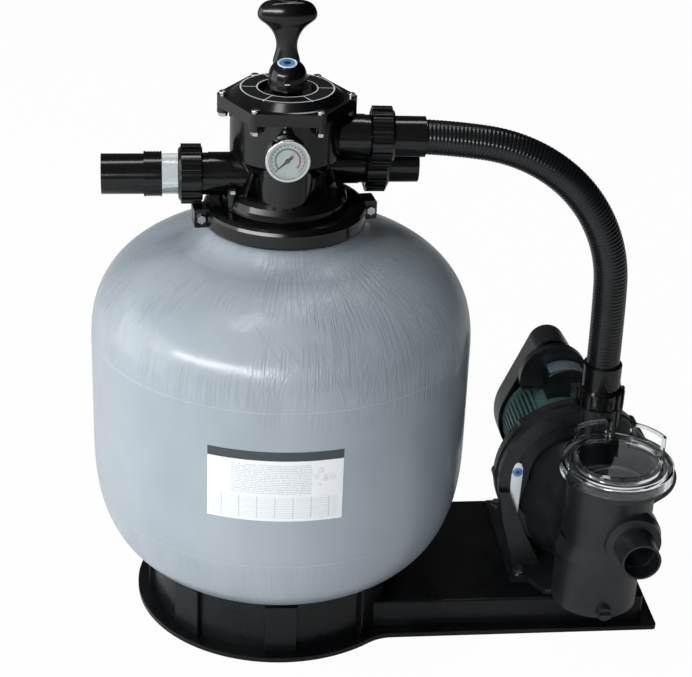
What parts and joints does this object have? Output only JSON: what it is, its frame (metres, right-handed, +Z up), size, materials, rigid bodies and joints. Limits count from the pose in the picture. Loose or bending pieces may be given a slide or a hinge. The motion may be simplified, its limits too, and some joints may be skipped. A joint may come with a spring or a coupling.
{
  "type": "sand filter tank",
  "caption": "Pool sand filter set: round wound tank on a moulded base, six-way valve with gauge on top, ribbed hose, and a strainer pump on the same base.",
  "frame": {"origin": "on the floor under the middle of the whole set, the tank's axis lying 158.75 mm towards -X", "axes": "+Z up, +X from the tank towards the pump, -Y towards the gauge, label and pump inlet"},
  "size_m": [0.8446, 0.5275, 0.888],
  "materials": {
    "tank_grp": "satin wound glass fibre",
    "label": "printed film",
    "base_plastic": "moulded, fine grain",
    "valve_plastic": "moulded, glossy",
    "dial": "printed",
    "clear_plastic": "clear polycarbonate",
    "gauge_metal": "bright",
    "gauge_white": "printed",
    "needle_black": "satin",
    "hose_plastic": "satin, finely ribbed",
    "pump_plastic": "moulded, satin",
    "impeller_plastic": "glass filled",
    "basket_plastic": "moulded",
    "pipe_plastic": "moulded",
    "sand": "graded silica sand",
    "seal_rubber": "matt",
    "seal_ceramic": "lapped",
    "fastener_steel": "stainless",
    "motor_paint": "cast aluminium, painted",
    "motor_steel": "turned and laminated"
  },
  "bodies": {
    "root": {"tank_shell": "tank_grp", "tank_label": "label", "filter_base": "base_plastic", "valve_body": "valve_plastic", "valve_lid": "valve_plastic", "clamp_front": "valve_plastic", "clamp_rear": "valve_plastic", "return_tail": "valve_plastic", "pump_port_tail": "valve_plastic", "waste_tail": "valve_plastic", "sight_glass_collar": "valve_plastic", "hose_cuff": "valve_plastic", "dial_plate": "dial", "sight_glass": "clear_plastic", "gauge_lens": "clear_plastic", "gauge_case": "gauge_metal", "gauge_face": "gauge_white", "hose": "hose_plastic", "pump_housing": "pump_plastic", "seal_plate": "pump_plastic", "inlet_tail": "pump_plastic", "pump_foot": "pump_plastic", "fan_cover": "pump_plastic", "terminal_box": "pump_plastic", "cable_gland": "pump_plastic", "standpipe": "pipe_plastic", "lateral_hub": "pipe_plastic", "laterals": "pipe_plastic", "sand_bed": "sand", "neck_o_ring": "seal_rubber", "lid_o_ring": "seal_rubber", "union_o_rings": "seal_rubber", "spider_gasket": "seal_rubber", "shaft_seal": "seal_ceramic", "lid_fasteners": "fastener_steel", "clamp_fasteners": "fastener_steel", "housing_bolts": "fastener_steel", "foot_bolts": "fastener_steel", "motor_housing": "motor_paint", "motor_bearings": "motor_steel", "motor_stator": "motor_steel"},
    "valve_rotor": {"diverter_rotor": "valve_plastic", "handle_collar": "valve_plastic", "valve_spring": "fastener_steel"},
    "valve_handle": {"handle": "valve_plastic", "handle_pin": "fastener_steel"},
    "pressure_needle": {"gauge_needle": "needle_black"},
    "motor_drive": {"motor_shaft": "motor_steel", "motor_rotor": "motor_steel", "impeller": "impeller_plastic", "motor_fan": "impeller_plastic"},
    "lid_seal": {"strainer_lid_seal": "seal_rubber"},
    "pot_lid": {"strainer_lid": "clear_plastic"},
    "leaf_basket": {"strainer_basket": "basket_plastic"},
    "return_union": {"return_nut": "valve_plastic"},
    "pump_port_union": {"pump_port_nut": "valve_plastic"},
    "waste_union": {"waste_nut": "valve_plastic"},
    "discharge_union": {"discharge_nut": "valve_plastic"},
    "drain_plug": {"pump_drain_plug": "pump_plastic"},
    "bleeder": {"bleed_screw": "fastener_steel"}
  },
  "joints": [
    {"name": "valve_turn", "type": "hinge", "parent": "root", "child": "valve_rotor", "pos_m": [-0.15875, 0, 0.78], "axis": [0, 0, 1], "continuous": true},
    {"name": "handle_press", "type": "slide", "parent": "valve_rotor", "child": "valve_handle", "axis": [0, 0, 1], "range_m": [-0.005, 0], "stiffness_N_per_m": 4000, "springref_m": 0.005, "deforming": ["valve_spring"]},
    {"name": "needle_turn", "type": "hinge", "parent": "root", "child": "pressure_needle", "pos_m": [-0.16425, -0.1, 0.708], "axis": [0, 1, 0], "range_deg": [0, 270]},
    {"name": "motor_spin", "type": "hinge", "parent": "root", "child": "motor_drive", "pos_m": [0.26925, 0, 0.1975], "axis": [0, 1, 0], "continuous": true},
    {"name": "lid_lift", "type": "slide", "parent": "root", "child": "lid_seal", "axis": [0, 0, 1], "range_m": [0, 0.26]},
    {"name": "lid_turn", "type": "hinge", "parent": "lid_seal", "child": "pot_lid", "pos_m": [0.29825, -0.151, 0.27], "axis": [0, 0, 1], "range_deg": [0, 90]},
    {"name": "basket_lift", "type": "slide", "parent": "root", "child": "leaf_basket", "axis": [0, 0, 1], "range_m": [0, 0.208]},
    {"name": "return_nut_turn", "type": "hinge", "parent": "root", "child": "return_union", "pos_m": [-0.28375, 0, 0.6512], "axis": [-1, 0, 0], "continuous": true},
    {"name": "pump_port_nut_turn", "type": "hinge", "parent": "root", "child": "pump_port_union", "pos_m": [-0.03392, -0.00654, 0.7065], "axis": [0.9986, -0.0523, 0], "continuous": true},
    {"name": "waste_nut_turn", "type": "hinge", "parent": "root", "child": "waste_union", "pos_m": [-0.03375, 0.051, 0.6475], "axis": [1, 0, 0], "continuous": true},
    {"name": "discharge_nut_turn", "type": "hinge", "parent": "root", "child": "discharge_union", "pos_m": [0.29525, -0.036, 0.33], "axis": [0, 0, 1], "continuous": true},
    {"name": "drain_plug_turn", "type": "hinge", "parent": "root", "child": "drain_plug", "pos_m": [0.28725, -0.205, 0.072], "axis": [0, -1, 0], "continuous": true},
    {"name": "bleed_screw_turn", "type": "hinge", "parent": "root", "child": "bleeder", "pos_m": [-0.23075, -0.037, 0.63], "axis": [0, 0, 1], "continuous": true}
  ],
  "couplings": [
    {"joint": "basket_lift", "follows": "lid_lift", "ratio": 0.8}
  ]
}
